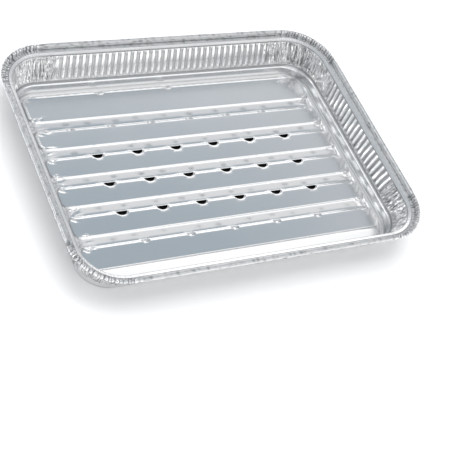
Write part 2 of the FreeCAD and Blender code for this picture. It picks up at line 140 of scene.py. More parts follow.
# Soft screens round the tray, each laid over those before it: bearing of the middle from the rear
# towards the right, height above the ground, inner and outer reach (all in degrees), and colour.
SCREENS = (
    (165, 6, 40, 60, (1.38, 1.38, 1.38)),
    (298, 40, 13, 19, (2.1, 2.1, 2.1)),
    (232, 36, 8, 14, (0.36, 0.39, 0.43)),
    (40, 57, 8, 20, (0.34, 0.40, 0.45)),
    (85, 63, 14, 20, (0.76, 0.76, 0.77)),
    (115, 60, 10, 18, (1.20, 1.20, 1.20)),
    (30, 25, 10, 17, (1.45, 1.45, 1.45)),
    (306, 20, 8, 13, (0.42, 0.45, 0.49)),
    (355, 24, 8, 18, (0.28, 0.30, 0.33)),
    (88, 18, 8, 16, (0.25, 0.27, 0.30)),
    (142, 36, 6, 12, (0.12, 0.13, 0.15)),
    (262, 10, 8, 14, (0.22, 0.24, 0.27)),
    (300, 11, 10, 15, (0.16, 0.18, 0.21)),
)


# ---------------------------------------------------------------- node trees
class Value:
    """Output of a node that can be used in Python arithmetic."""

    def __init__(self, graph, socket):
        self.graph = graph
        self.socket = socket

    def math(self, operation, *others):
        inputs = dict(enumerate([self, *others]))
        return self.graph.add("ShaderNodeMath", {"operation": operation}, inputs)[0]

    def __add__(self, other):
        return self.math("ADD", other)

    def __radd__(self, other):
        return self.math("ADD", other)

    def __sub__(self, other):
        return self.math("SUBTRACT", other)

    def __rsub__(self, other):
        return self.graph.wrap(other).math("SUBTRACT", self)

    def __mul__(self, other):
        return self.math("MULTIPLY", other)

    def __truediv__(self, other):
        return self.math("DIVIDE", other)

    def clamped(self):
        return self.math("MAXIMUM", 0.0).math("MINIMUM", 1.0)

    def step(self, start, end):
        """0 before start, 1 after end, smooth between."""
        inputs = {0: self, 1: start, 2: end}
        return self.graph.add("ShaderNodeMapRange", {"interpolation_type": "SMOOTHSTEP"}, inputs)[0]


class Graph:
    """Adds nodes to one tree."""

    def __init__(self, tree):
        self.tree = tree

    def add(self, kind, settings=None, inputs=None):
        """A node of this type, its settings made first, then the values or links of its inputs."""
        node = self.tree.nodes.new(kind)
        for name, setting in (settings or {}).items():
            setattr(node, name, setting)
        for key, value in (inputs or {}).items():
            if isinstance(value, Value):
                self.tree.links.new(value.socket, node.inputs[key])
            else:
                node.inputs[key].default_value = value
        return [Value(self, socket) for socket in node.outputs]

    def wrap(self, number):
        value = self.add("ShaderNodeValue")[0]
        value.socket.default_value = number
        return value

    def vector(self, x, y, z):
        return self.add("ShaderNodeCombineXYZ", {}, {0: x, 1: y, 2: z})[0]

    def parts(self, vector):
        return self.add("ShaderNodeSeparateXYZ", {}, {0: vector})

    def noise(self, vector, scale, detail=2.0, roughness=0.5):
        inputs = {"Vector": vector, "Scale": scale, "Detail": detail, "Roughness": roughness}
        return self.add("ShaderNodeTexNoise", {}, inputs)[0]

    def blend(self, share, first, second):
        """First colour where share is 0, second where it is 1."""
        inputs = {0: share, 6: first, 7: second}
        return self.add("ShaderNodeMix", {"data_type": "RGBA"}, inputs)[2]


def fresh_graph(owner):
    """Empty node tree of a material or world."""
    owner.use_nodes = True
    owner.node_tree.nodes.clear()
    return Graph(owner.node_tree)


def new_object(name, data):
    """Object of this data, in the scene."""
    piece = bpy.data.objects.new(name, data)
    bpy.context.collection.objects.link(piece)
    return piece


# ---------------------------------------------------------------- sections
def bent(corners):
    """Points along a bent line; corners are (point, bend radius)."""
    places = [Vector(point) for point, radius in corners]
    rows = [places[0]]
    for before, here, after, (_, radius) in zip(places, places[1:], places[2:], corners[1:]):
        arriving = (here - before).normalized()
        leaving = (after - here).normalized()
        turn = arriving.angle(leaving)
        longest = 0.49 * min((here - before).length, (after - here).length)
        reach = min(radius * math.tan(turn / 2), longest)
        count = max(2, round(turn / 0.4))
        for i in range(count + 1):
            t = i / count
            # A parabola through the two tangent points is near enough to an arc here.
            rows.append(here - arriving * reach * (1 - t) ** 2 + leaving * reach * t ** 2)
    rows.append(places[-1])
    return rows


def filled(rows, widest):
    """The same rows with more between them wherever two are further apart than widest."""
    dense = [rows[0]]
    for before, after in zip(rows, rows[1:]):
        count = max(1, math.ceil((after - before).length / widest))
        for i in range(1, count + 1):
            dense.append(before.lerp(after, i / count))
    return dense


def ramp(value, start, end):
    """Smooth step in plain numbers or arrays."""
    t = np.clip((np.asarray(value, float) - start) / (end - start), 0.0, 1.0)
    return t * t * (3 - 2 * t)


def section_mesh(name, rows, weights):
    """Line of rows (across x, across y, level) with what each row takes of pleats, ripples and shade."""
    mesh = bpy.data.meshes.new(name)
    mesh.from_pydata([row * MM for row in rows], [(i, i + 1) for i in range(len(rows) - 1)], [])
    for label in ("pleat", "ripple", "fold"):
        weight = weights.get(label, np.zeros(len(rows)))
        mesh.attributes.new(label, "FLOAT", "POINT").data.foreach_set("value", weight)
    facing = []
    for i, row in enumerate(rows):
        along = rows[min(i + 1, len(rows) - 1)] - rows[max(i - 1, 0)]
        across = math.hypot(along.x, along.y) / math.sqrt(2) * (1 if along.x + along.y > 0 else -1)
        facing += [-along.z, 0.0, across] if along.length else [0.0, 0.0, 1.0]
    directions = np.array(facing).reshape(-1, 3)
    directions /= np.linalg.norm(directions, axis=1)[:, None]
    mesh.attributes.new("facing", "FLOAT_VECTOR", "POINT").data.foreach_set("vector", directions.ravel())
    return new_object(name, mesh)


# A section's points: outside the flange's inner edge in x and in y, and level.
SHELF = (-2.5, -8.7, 10.95)             # where the trough's side meets the pleats
LIP = (0.72, 0.25, FLANGE_LEVEL - 3.0)  # where the pleats meet the flange
FLANGE_MIDDLE = (3.0, 3.0, FLANGE_LEVEL - 0.6)


def trough_section():
    """From the trough's bottom up its plain side to the narrow shelf."""
    rows = filled(bent([
        ((-TROUGH_IN_X, -TROUGH_IN_Y, TROUGH_LEVEL), 0),
        ((-5.4, -11.6, TROUGH_LEVEL), 2.2),
        ((-4.05, -10.25, 7.8), 0.4),
        ((-3.2, -9.4, 8.25), 0.4),
        ((-2.8, -9.0, 10.9), 0.5),
        (SHELF, 0),
    ]), 1.0)
    level = np.array([row.z for row in rows])
    ripple = 0.06 * ramp(level, 0.5, 3.0) * (1 - ramp(level, 6.0, 7.0))
    # Painted shade, stored as fold: a little all over, less on the small step, more in a line where the
    # side leaves the trough's bottom and towards the shelf.
    fold = 0.2 + 0.3 * ramp(level, 8.3, 9.2) - 0.2 * ramp(level, 7.2, 7.6) * (1 - ramp(level, 8.3, 8.6))
    fold = fold + 0.5 * ramp(level, 0.12, 0.4) * (1 - ramp(level, 0.6, 1.1)) + 0.4 * ramp(level, 10.0, 10.5)
    return section_mesh("trough_side", rows, {"ripple": ripple, "fold": fold})


def pleat_section():
    """The pleated wall above the shelf."""
    corners = [(SHELF, 0), ((-2.1, -8.3, 11.0), 0.5), ((-0.75, -5.1, 21.0), 60), (LIP, 0)]
    rows = filled(bent(corners), 1.8)
    level = np.array([row.z for row in rows])
    pleat = ramp(level, 11.0, 13.0) * (1 - ramp(level, LIP[2] - 2.2, LIP[2] - 0.1))
    # Painted shade at the feet of the pleats.
    fold = 0.5 * (1 - ramp(level, 12.0, 13.5))
    return section_mesh("pleated_wall", rows, {"pleat": pleat, "ripple": 0.5 * pleat, "fold": fold})


def flange_section():
    """The small lip above the pleats and the inner half of the flange."""
    rows = filled(bent([
        (LIP, 0),
        ((0.95, 0.95, FLANGE_LEVEL - 2.5), 0.4),
        ((-0.1, -0.1, FLANGE_LEVEL - 2.1), 0.4),
        ((0.15, 0.15, FLANGE_LEVEL - 1.5), 0.4),
        (FLANGE_MIDDLE, 0),
    ]), 0.8)
    order = np.linspace(0, 1, len(rows))
    level = np.array([row.z for row in rows]) - FLANGE_LEVEL
    # Painted shade in the crevice under the small lip above the pleats.
    fold = ramp(level, -2.8, -2.4) * (1 - ramp(level, -1.7, -1.2))
    ripple = 0.5 * ramp(order, 0.0, 0.3) * (1 - ramp(order, 0.8, 1.0))
    return section_mesh("flange", rows, {"ripple": ripple, "fold": fold})


def rim_section():
    """From the middle of the flange through the crease and once round the roll."""
    centre_in = RIM_BAND - ROLL_RADIUS - SHEET / 2 - 0.1
    crease_in = centre_in - ROLL_RADIUS
    roll_level = RIM_TOP - ROLL_RADIUS - SHEET / 2
    rows = filled(bent([
        (FLANGE_MIDDLE, 0),
        ((3.5, 3.5, FLANGE_LEVEL - 0.85), 0.3),
        ((3.9, 3.9, FLANGE_LEVEL - 0.35), 0.3),
        ((crease_in - 0.6, crease_in - 0.6, FLANGE_LEVEL - 0.1), 0.3),
        ((crease_in - 0.1, crease_in - 0.1, FLANGE_LEVEL - 0.5), 0.3),
        ((crease_in, crease_in, roll_level - 0.6), 0.3),
        ((crease_in, crease_in, roll_level), 0),
    ]), 1.4)
    out = np.array([row.x for row in rows])
    level = np.array([row.z for row in rows])
    # Painted shade, stored as fold: in the crease beside the roll, on the step in the flange, on the roll's
    # inner side and underside, and a little everywhere on the rim.
    crease = ramp(out, crease_in - 0.5, crease_in - 0.2) * (1 - ramp(level, FLANGE_LEVEL, FLANGE_LEVEL + 1))
    step = ramp(out, 3.1, 3.4) * (1 - ramp(out, 3.7, 4.0))
    fold = list(0.8 * crease + 0.7 * step)
    for i in range(1, ROLL_STEPS + 1):
        angle = math.radians(180 - ROLL_TURN * i / ROLL_STEPS)
        radius = ROLL_RADIUS * (1 - 0.12 * max(0.0, i / ROLL_STEPS - 0.7))
        across = centre_in + radius * math.cos(angle)
        rows.append(Vector((across, across, roll_level + radius * math.sin(angle))))
        shoulder = float(ramp(-math.cos(angle), 0.3, 0.7)) * 0.35
        fold.append(max(shoulder, float(ramp(-math.sin(angle), -0.1, 0.45))))
    out = np.array([row.x for row in rows])
    ripple = np.clip((out - 3.0) / 2.0, 0.0, 1.0)
    return section_mesh("rolled_rim", rows, {"ripple": ripple, "fold": np.clip(fold, 0.25, 1)})


# ---------------------------------------------------------------- sweep round the tray
def sweep_tree():
    """Carries a section round a rounded rectangle, with pleats, crumples and ripples on the way."""
    tree = bpy.data.node_groups.new("round_the_tray", "GeometryNodeTree")
    tree.interface.new_socket(name="Section", in_out="INPUT", socket_type="NodeSocketGeometry")
    floats = ("Edge X", "Edge Y", "Corner", "Pleat Depth", "Crumple Depth", "Tick Depth", "Tick Pitch")
    for name in floats + ("Short Pleats", "Corner Pleats", "Long Pleats"):
        tree.interface.new_socket(name=name, in_out="INPUT", socket_type="NodeSocketFloat")
    for name in ("Short Steps", "Corner Steps", "Long Steps"):
        tree.interface.new_socket(name=name, in_out="INPUT", socket_type="NodeSocketInt")
    tree.interface.new_socket(name="Seed", in_out="INPUT", socket_type="NodeSocketFloat")
    tree.interface.new_socket(name="Foil", in_out="INPUT", socket_type="NodeSocketMaterial")
    tree.interface.new_socket(name="Sheet", in_out="OUTPUT", socket_type="NodeSocketGeometry")
    g = Graph(tree)
    given = {value.socket.name: value for value in g.add("NodeGroupInput")}
    section = given["Section"]

    # One sheet of columns round the tray and rows along the section.
    quarter = given["Short Steps"] + given["Corner Steps"] + given["Long Steps"]
    rows = g.add("GeometryNodeAttributeDomainSize", {"component": "MESH"}, {0: section})[0]
    flat = g.add("GeometryNodeMeshGrid", {}, {2: quarter * 4 + 1, 3: rows})[0]
    place = g.parts(g.add("GeometryNodeInputPosition")[0])
    row = ((place[1] + 0.5) * (rows - 1)).math("ROUND")

    def along_section(kind, name):
        field = g.add("GeometryNodeInputNamedAttribute", {"data_type": kind}, {0: name})[0]
        return g.add("GeometryNodeSampleIndex", {"data_type": kind}, {0: section, 1: field, 2: row})[0]

    spot = g.parts(along_section("FLOAT_VECTOR", "position"))
    facing = g.parts(along_section("FLOAT_VECTOR", "facing"))
    pleated = along_section("FLOAT", "pleat")
    rippled = along_section("FLOAT", "ripple")
    # painted shade that the section gives each row
    folded = along_section("FLOAT", "fold")

    # Quarter by quarter: half a short side, a corner, half a long side, then the same mirrored.
    turn = (place[0] + 0.5) * 4
    step = turn.math("PINGPONG", 1.0) * quarter
    short = (step / given["Short Steps"]).clamped()
    round_corner = ((step - given["Short Steps"]) / given["Corner Steps"]).clamped()
    long_side = ((step - given["Short Steps"] - given["Corner Steps"]) / given["Long Steps"]).clamped()
    left = turn.math("GREATER_THAN", 1.0) * turn.math("LESS_THAN", 3.0)
    front = turn.math("GREATER_THAN", 2.0)
    side_x = 1 - left * 2
    side_y = 1 - front * 2
    quadrant = left * 3.7 + front * 7.9 + given["Seed"]

    # Pleats, counted from the middle of a short side; near the corners crumples take their place.
    on_short = short * given["Short Pleats"]
    on_long = long_side * given["Long Pleats"]
    pleats = on_short + round_corner * given["Corner Pleats"] + on_long
    near_short = on_short.step(given["Short Pleats"] - 4.2, given["Short Pleats"] - 2.0)
    near_long = 1 - on_long.step(1.6, 3.8)
    crumpled = near_short * near_long
    number = pleats.math("FLOOR")
    uneven = g.noise(g.vector(number * 1.37, quadrant, 0.0), 1.0, 0.0) - 0.5
    inside = pleats.math("FRACT")
    rise = (inside + uneven * 0.06).step(0.14, 0.38)
    fall = (inside + uneven * 0.06).step(0.60, 0.84)
    regular = (rise - fall) * (1 + uneven * 0.4)
    reach = short * SHORT_RUN + round_corner * CORNER_RUN + long_side * LONG_RUN
    leaning = reach + (spot[2] * 1000 - 20) * (uneven * 0.5)
    folds = g.noise(g.vector(leaning * 0.58, spot[2] * 18, quadrant), 1.0, 2.0, 0.6)
    small = g.noise(g.vector(leaning * 1.30, spot[2] * 32, quadrant + 9), 1.0, 2.0, 0.6)
    ridges = 1 - ((folds * 2 - 1) * 3.2).math("ABSOLUTE").clamped()
    crumple = ridges * given["Crumple Depth"] + (small - 0.5) * given["Crumple Depth"] * 0.8
    fold = regular * given["Pleat Depth"] * (1 - crumpled) + crumple * crumpled

    # Close ticks round the corners of the flange and the roll, and small dents all along them.
    wobble = g.noise(g.vector(reach * 0.35, quadrant, 2.0), 1.0, 1.0) * 5.0
    ticks = (reach * math.pi / given["Tick Pitch"] + wobble).math("SINE").math("ABSOLUTE")
    deeper = g.noise(g.vector(reach * 0.2, quadrant, 5.0), 1.0, 1.0) + 0.4
    in_corner = short.step(0.90, 1.0) * (1 - long_side.step(0.0, 0.08))
    fine = g.noise(g.vector(reach * 0.9, spot[2] * 900, quadrant), 1.0, 2.0) - 0.5
    dented = g.noise(g.vector(reach * 0.30, spot[2] * 500, quadrant + 2), 1.0, 2.0, 0.6) - 0.45
    tick = given["Tick Depth"]
    ticked = (ticks * deeper + fine * 0.8) * tick * in_corner + dented * tick * 0.9

    # Painted shade, stored as the fold attribute, darker and duller: the outward parts of the pleats, the
    # ridges of the crumples, ticks and dents.
    gap = regular.step(0.3, 0.75) * (0.85 - long_side.step(0.0, 0.1) * 0.25)
    painted_gap_shade = pleated * (gap * (1 - crumpled) + ridges.step(0.68, 0.96) * crumpled * 0.95)
    painted_tick_shade = (ticks.step(0.80, 1.0) * deeper * in_corner * 2 + dented.step(0.05, 0.25)) * rippled * 0.5
    painted_shade_change = (long_side.step(0.0, 0.1) * 0.6 - in_corner * 0.5) * rippled
    dark = (folded * (1 + painted_shade_change) + painted_gap_shade + painted_tick_shade * (tick * 1700).clamped()).clamped()
    sheet = flat
    per_point = {"data_type": "FLOAT", "domain": "POINT"}
    for name, value in (("fold", dark), ("worked", crumpled)):
        inputs = {"Geometry": sheet, "Name": name, "Value": value}
        sheet = g.add("GeometryNodeStoreNamedAttribute", per_point, inputs)[0]

    # The section's place on the straight sides and round the corner, pushed outward and along its facing.
    half_x = given["Edge X"] + spot[0]
    half_y = given["Edge Y"] + spot[1]
    corner = given["Corner"] + spot[0] * SHARE_X + spot[1] * SHARE_Y
    angle = round_corner * (math.pi / 2)
    wave = g.noise(g.vector(reach * 0.03, spot[2] * 30, quadrant + 4), 1.0, 1.0) - 0.5
    swell = wave * (2 * MM) * short.step(0, 0.2) * (1 - long_side.step(0.8, 1.0)) * 0.3
    proud = rippled * (swell - ticked)
    outward = pleated * fold + facing[0] * proud
    x = (half_x - corner) * (1 - long_side) + (corner + outward) * angle.math("COSINE")
    y = (half_y - corner) * short + (corner + outward) * angle.math("SINE")
    z = spot[2] + facing[2] * proud
    position = g.vector(x * side_x, y * side_y, z)
    placed = g.add("GeometryNodeSetPosition", {}, {"Geometry": sheet, "Position": position})[0]
    closed = g.add("GeometryNodeMergeByDistance", {}, {"Geometry": placed, "Distance": 1e-6})[0]
    upright = g.add("GeometryNodeFlipFaces", {}, {0: closed})[0]
    single = g.add("GeometryNodeRealizeInstances", {}, {0: upright})[0]
    painted = g.add("GeometryNodeSetMaterial", {}, {"Geometry": single, "Material": given["Foil"]})[0]
    out = tree.nodes.new("NodeGroupOutput")
    tree.links.new(painted.socket, out.inputs[0])
    return tree


def plain_mesh(piece):
    """The evaluated piece as a mesh of its own, with no modifier left."""
    evaluated = piece.evaluated_get(bpy.context.evaluated_depsgraph_get())
    mesh = bpy.data.meshes.new_from_object(evaluated)
    piece.modifiers.clear()
    piece.data = mesh
    return piece


def swept(piece, tree, foil, steps, seed, tick_depth=0.0):
    """Runs the tree on a section and keeps the sheet that it makes.

    Steps are those along half a short side, round a corner and along half a long side.
    """
    sizes = {
        "Edge X": EDGE_X * MM, "Edge Y": EDGE_Y * MM, "Corner": EDGE_CORNER * MM,
        "Pleat Depth": PLEAT_DEPTH * MM, "Crumple Depth": CRUMPLE_DEPTH * MM,
        "Tick Depth": tick_depth * MM, "Tick Pitch": TICK_PITCH,
        "Short Pleats": SHORT_PLEATS / 2, "Corner Pleats": CORNER_PLEATS, "Long Pleats": LONG_PLEATS / 2,
        "Short Steps": steps[0], "Corner Steps": steps[1], "Long Steps": steps[2],
        "Seed": seed, "Foil": foil,
    }
    modifier = piece.modifiers.new("Round The Tray", "NODES")
    modifier.node_group = tree
    for item in tree.interface.items_tree:
        if item.in_out == "INPUT" and item.name in sizes:
            setting = sizes[item.name]
            if item.name != "Foil":
                # A number is set in the kind that its socket has.
                setting = type(modifier[item.identifier])(setting)
            modifier[item.identifier] = setting
    return plain_mesh(piece)


# ---------------------------------------------------------------- floor
def band_limits():
    """Front and rear edge of each flat band, from the front."""
    middles = [GROOVE_PITCH * (i - (GROOVES - 1) / 2) for i in range(GROOVES)]
    fronts = [-FRONT_LIMIT] + [middle + GROOVE_WIDTH / 2 for middle in middles]
    rears = [middle - GROOVE_WIDTH / 2 for middle in middles] + [REAR_LIMIT]
    return list(zip(fronts, rears))


def slot_centres():
    """Centre of the half-round of every drain hole."""
    centres = []
    for groove in range(1, GROOVES - 1):
        edge = band_limits()[groove][1]
        for slot in range(SLOTS):
            centres.append((SLOT_PITCH * (slot - (SLOTS - 1) / 2), edge + SLOT_INSET))
    return centres


def dimple_centres():
    """Centres of the plain dimples in the outer grooves and behind the last band."""
    rears = [rear for _, rear in band_limits()]
    return [(pitch * place + shift, rears[band] + DIMPLE_INSET)
            for band, pitch, shift, places in DIMPLES for place in places]


def rounded_distance(over_x, over_y, corner):
    """Distance outside a rounded rectangle, negative inside, from the overshoot past its straight parts."""
    beyond = np.hypot(np.maximum(over_x, 0), np.maximum(over_y, 0))
    return beyond + np.minimum(np.maximum(over_x, over_y), 0) - corner


def band_distance(x, y, front, rear):
    """Distance outside a band's outline, negative inside, and how far it faces the front there."""
    middle, half = (front + rear) / 2, (rear - front) / 2
    over_x = np.abs(x) - (BAND_END - BAND_CORNER)
    over_y = np.abs(y - middle) - (half - BAND_CORNER)
    beyond = np.hypot(np.maximum(over_x, 0), np.maximum(over_y, 0))
    turned = np.maximum(over_y, 0) / np.maximum(beyond, 1e-6)
    facing = np.where(y < middle, turned, -turned)
    return rounded_distance(over_x, over_y, BAND_CORNER), facing


def trough_sizes(inset=0.0):
    """Half length, half width and corner radius of the trough's outer edge, moved in by inset."""
    corner = EDGE_CORNER - TROUGH_IN_X * SHARE_X - TROUGH_IN_Y * SHARE_Y - inset
    return EDGE_X - TROUGH_IN_X - inset, EDGE_Y - TROUGH_IN_Y - inset, corner


def rounded_drop(out, start, radius, slope):
    """Fall behind an edge: flat until start, rounded, then straight at this slope."""
    into = np.maximum(out - start, 0)
    bend = radius * slope
    return np.where(into < bend, into ** 2 / (2 * radius), bend * slope / 2 + slope * (into - bend))


def end_drop(out):
    """Fall at the end of a band."""
    return rounded_drop(out, -0.7, 1.1, 2.4)


def sloping_drop(out, deep, run):
    """Fall before an edge: a small steep lip, then a long side that flattens towards the bottom."""
    t = np.clip(out / run, 0.0, 1.0)
    return LIP_DROP * ramp(out, -0.2, 1.7) + (deep - LIP_DROP) * (1 - (1 - t) ** 1.08)


def smooth_max(a, b, soft):
    """The larger of two, with a soft change from one to the other."""
    share = np.clip(0.5 + (a - b) / (2 * soft), 0.0, 1.0)
    return b + (a - b) * share + soft * share * (1 - share)


def floor_level(x, y):
    """Height of the middle of the foil at points of the floor."""
    limits = band_limits()
    end = ramp(np.abs(x), *GROOVE_FADE)
    between = ((y > limits[0][1] - 3) & (y < limits[-1][0] + 3)).astype(float)
    level = TROUGH_LEVEL + (BAND_LEVEL - GROOVE_DEPTH - TROUGH_LEVEL) * (1 - end) * between
    for front, rear in limits:
        distance, facing = band_distance(x, y, front, rear)
        if front == -FRONT_LIMIT:
            before = sloping_drop(distance, BAND_LEVEL - TROUGH_LEVEL, FRONT_RUN)
        else:
            # Further away the slope sinks out of the way of the bands before it.
            before = sloping_drop(distance, GROOVE_DEPTH + 0.1, GROOVE_RUN) + 5 * ramp(distance, 14.0, 24.0)
        last = rear == REAR_LIMIT
        behind = rounded_drop(distance, -0.3 if last else -2.2, 1.2 if last else 4.2, 1.2)
        share_before = ramp(facing, 0.1, 0.9) * (1 - end)
        share_behind = ramp(-facing, 0.1, 0.9)
        share_beside = 1 - share_before - share_behind
        drop = before * share_before + behind * share_behind + end_drop(distance) * share_beside
        at_end = (1 - ramp(np.abs(facing), 0.8, 1.0)) * ramp(np.abs(x), *END_FADE)
        bead = np.maximum(at_end * END_BEAD, share_behind * last * REAR_BEAD)
        bead = bead * np.exp(-(((distance + BEAD_INSET) / BEAD_WIDTH) ** 2))
        level = smooth_max(BAND_LEVEL - drop + bead, level, 0.3)

    # The bands fall to the trough's bottom before its outer edge.
    half_x, half_y, corner = trough_sizes()
    outside = rounded_distance(np.abs(x) - (half_x - corner), np.abs(y) - (half_y - corner), corner)
    level = np.minimum(level, BAND_LEVEL + END_BEAD - end_drop(BAND_FOOT + outside))
    for cx, cy in slot_centres():
        away = np.hypot(x - cx, y - cy)
        flare = BAND_LEVEL - FLARE_DEPTH * (1 - np.clip((away - SLOT_RADIUS) / FLARE_WIDTH, 0, 1)) ** 2
        level = np.where(y < cy + SLOT_FLAT, np.minimum(level, flare), level)
    for cx, cy in dimple_centres():
        away = np.hypot(x - cx, y - cy)
        bowl = BAND_LEVEL - DIMPLE_DEPTH * np.clip(1 - (away / DIMPLE_RADIUS) ** 2, 0, 1)
        level = np.where(away < DIMPLE_RADIUS, np.minimum(level, bowl), level)
    return level


def crease_places():
    """Short creases, some up and some down, where the grooves run out, by fixed seed."""
    chance = np.random.default_rng(CREASE_SEED)
    limits = band_limits()
    places = []
    for (_, rear), (front, _) in zip(limits, limits[1:]):
        for side in (-1, 1):
            for _ in range(9):
                x = side * chance.uniform(127.0, 139.5)
                y = chance.uniform(rear - 1.5, front + 2.5)
                turn = side * chance.uniform(-0.9, 0.5)
                height = chance.choice((-1, 1)) * chance.uniform(0.2, 0.45)
                length = chance.uniform(2.0, 4.5)
                width = chance.uniform(0.5, 0.9)
                places.append((x, y, turn, length, width, height))
    return places


def spot_places():
    """Small dull dents along the long side of each groove, by fixed seed."""
    chance = np.random.default_rng(SPOT_SEED)
    places = []
    for front, _ in band_limits()[1:]:
        for middle in np.arange(-112, 120, 25.0):
            x = middle + chance.uniform(-6, 6)
            y = front - chance.uniform(3.4, 5.2)
            places.append((x, y, chance.uniform(0.4, 1.0)))
    return places


def bump(along, length, across, width):
    """1 at the middle of a small mark, falling to 0 about twice its length and width away."""
    return np.exp(-((along / length) ** 2) - (across / width) ** 2)


def crumpled_floor(x, y):
    """Small dents at the rear corners of the bands, where the grooves run out and along the grooves."""
    dents = np.zeros_like(x)
    for number, (_, rear) in enumerate(band_limits()):
        for side in (-1, 1):
            cx, cy = side * (BAND_END - 3.2), rear - 1.6
            along = (x - cx) * side * DIAGONAL + (y - cy) * DIAGONAL
            across = (x - cx) * side * DIAGONAL - (y - cy) * DIAGONAL
            dents -= 0.7 * bump(along, 3.4, across + 0.05 * along ** 2, 0.9 + 0.2 * (number % 3))
    for cx, cy, turn, length, width, height in crease_places():
        along = (x - cx) * math.cos(turn) + (y - cy) * math.sin(turn)
        across = (y - cy) * math.cos(turn) - (x - cx) * math.sin(turn)
        dents += height * bump(along, length, across, width)
    for cx, cy, strength in spot_places():
        dents -= 0.15 * strength * bump(x - cx, 2.2, y - cy, 1.1)
    return dents


def groove_painted_shade(x, y):
    """Painted shade: how dark the foil is in the small dents, along the rear foot of each band and round
    its ends.
    """
    crease = np.zeros_like(x)
    for cx, cy, strength in spot_places():
        crease += 0.6 * strength * bump(x - cx, 2.4, y - cy, 1.2)
    for front, rear in band_limits():
        distance, facing = band_distance(x, y, front, rear)
        line = ramp(distance, 1.2, 1.6) * (1 - ramp(distance, 1.9, 2.4)) * ramp(-facing, 0.6, 0.95)
        crease = np.maximum(crease, 0.55 * line)
        at_end = (1 - ramp(np.abs(facing), 0.7, 0.98)) * ramp(np.abs(x), *END_FADE)
        end_line = ramp(distance, -0.5, 0.0) * (1 - ramp(distance, 0.5, 1.1))
        crease = np.maximum(crease, 0.6 * end_line * at_end)
    return crease


def ring(cx, cy, radius, count):
    """Points evenly round a circle."""
    return [(cx + radius * math.cos(t), cy + radius * math.sin(t))
            for t in np.linspace(0, 2 * math.pi, count, endpoint=False)]


def trough_outline(inset, spacing):
    """Points round the trough's outer edge, moved in by inset and closer together in the corners."""
    half_x, half_y, corner = trough_sizes(inset)
    # A quarter turn is about 1.6 radii long and takes half as many points again.
    bend_steps = round(corner * 1.6 / spacing * 1.5)
    points = []
    for quadrant in range(4):
        turn = quadrant * math.pi / 2
        a, b = (half_x, half_y) if quadrant % 2 == 0 else (half_y, half_x)
        length = 2 * (b - corner)
        steps = round(length / spacing)
        straight = [(a, length * i / steps - length / 2) for i in range(steps)]
        bend = [(a - corner + corner * math.cos(t), b - corner + corner * math.sin(t))
                for t in np.linspace(0, math.pi / 2, bend_steps, endpoint=False)]
        for px, py in straight + bend:
            points.append((px * math.cos(turn) - py * math.sin(turn),
                           px * math.sin(turn) + py * math.cos(turn)))
    return points


def band_outline(front, rear, out, side):
    """Points at a distance outside (or inside) the front (-1) or rear (1) edge of a band."""
    middle, half = (front + rear) / 2, (rear - front) / 2
    corner = BAND_CORNER + out
    core_x, core_y = BAND_END - BAND_CORNER, half - BAND_CORNER
    points = []
    for end in (-1, 1):
        for angle in np.radians(np.linspace(0, 90, 12)):
            points.append((end * (core_x + corner * math.cos(angle)),
                           middle + side * (core_y + corner * math.sin(angle))))
    edge = middle + side * (core_y + corner)
    return points + [(px, edge) for px in np.linspace(-core_x, core_x, 100)[1:-1]]


def form_points():
    """Points along the forms of the floor, clear of the holes and dimples."""
    points = []
    for inset in (1.2, 2.6, 4.2, 6.0):
        points += trough_outline(inset, 2.0)
    for front, rear in band_limits():
        for out in REAR_ROWS:
            points += band_outline(front, rear, out, 1)
        for out in FRONT_ROWS:
            points += band_outline(front, rear, out, -1)
        for out in END_ROWS:
            for side in (-1, 1):
                points += [(side * (BAND_END + out), py) for py in np.arange(front + 6.0, rear - 5.9, 1.2)]
        for py in np.arange(front + 5.5, rear - 4.9, 3.4):
            points += [(px, py) for px in np.arange(-134, 134.1, 5.0)]
    for out in (7.6, 8.8, 10.2):
        points += [(px, -FRONT_LIMIT - out) for px in np.linspace(-134, 134, 100)]
    for side in (-1, 1):
        for px in np.arange(124.0, 143.0, 0.8):
            points += [(side * px, py) for py in np.arange(-80, 90, 0.8)]
    points = np.array(points)
    openings = [(cx, cy, SLOT_RADIUS + 2.0) for cx, cy in slot_centres()]
    openings += [(cx, cy, DIMPLE_RADIUS + 0.5) for cx, cy in dimple_centres()]
    for cx, cy, clear in openings:
        points = points[np.hypot(points[:, 0] - cx, points[:, 1] - cy) > clear]
    return points


def ring_points():
    """Points in and round the dimples, and round the holes and behind their flat sides."""
    points = []
    for cx, cy in dimple_centres():
        for radius in DIMPLE_RINGS:
            points += ring(cx, cy, radius, max(1, round(radius * 8)))
    for cx, cy in slot_centres():
        for out in SLOT_RINGS:
            points += ring(cx, cy, SLOT_RADIUS + out, 48)
        for py in SLOT_ROWS:
            for px in np.arange(-4.2, 4.3, 0.7):
                if math.hypot(px, py) < SLOT_RADIUS + 0.1:
                    points.append((cx + px, cy + py))
    return np.array(points)


def hole_outline(cx, cy):
    """Edge of one drain hole: the half-round in front and the flat side behind."""
    tilt = math.asin(SLOT_FLAT / SLOT_RADIUS)
    arc = [(cx + SLOT_RADIUS * math.cos(t), cy + SLOT_RADIUS * math.sin(t))
           for t in np.linspace(math.pi - tilt, 2 * math.pi + tilt, 28)]
    chord = [(cx + SLOT_RADIUS * math.cos(tilt) * (1 - 2 * i / 14), cy + SLOT_FLAT) for i in range(1, 14)]
    return arc + chord


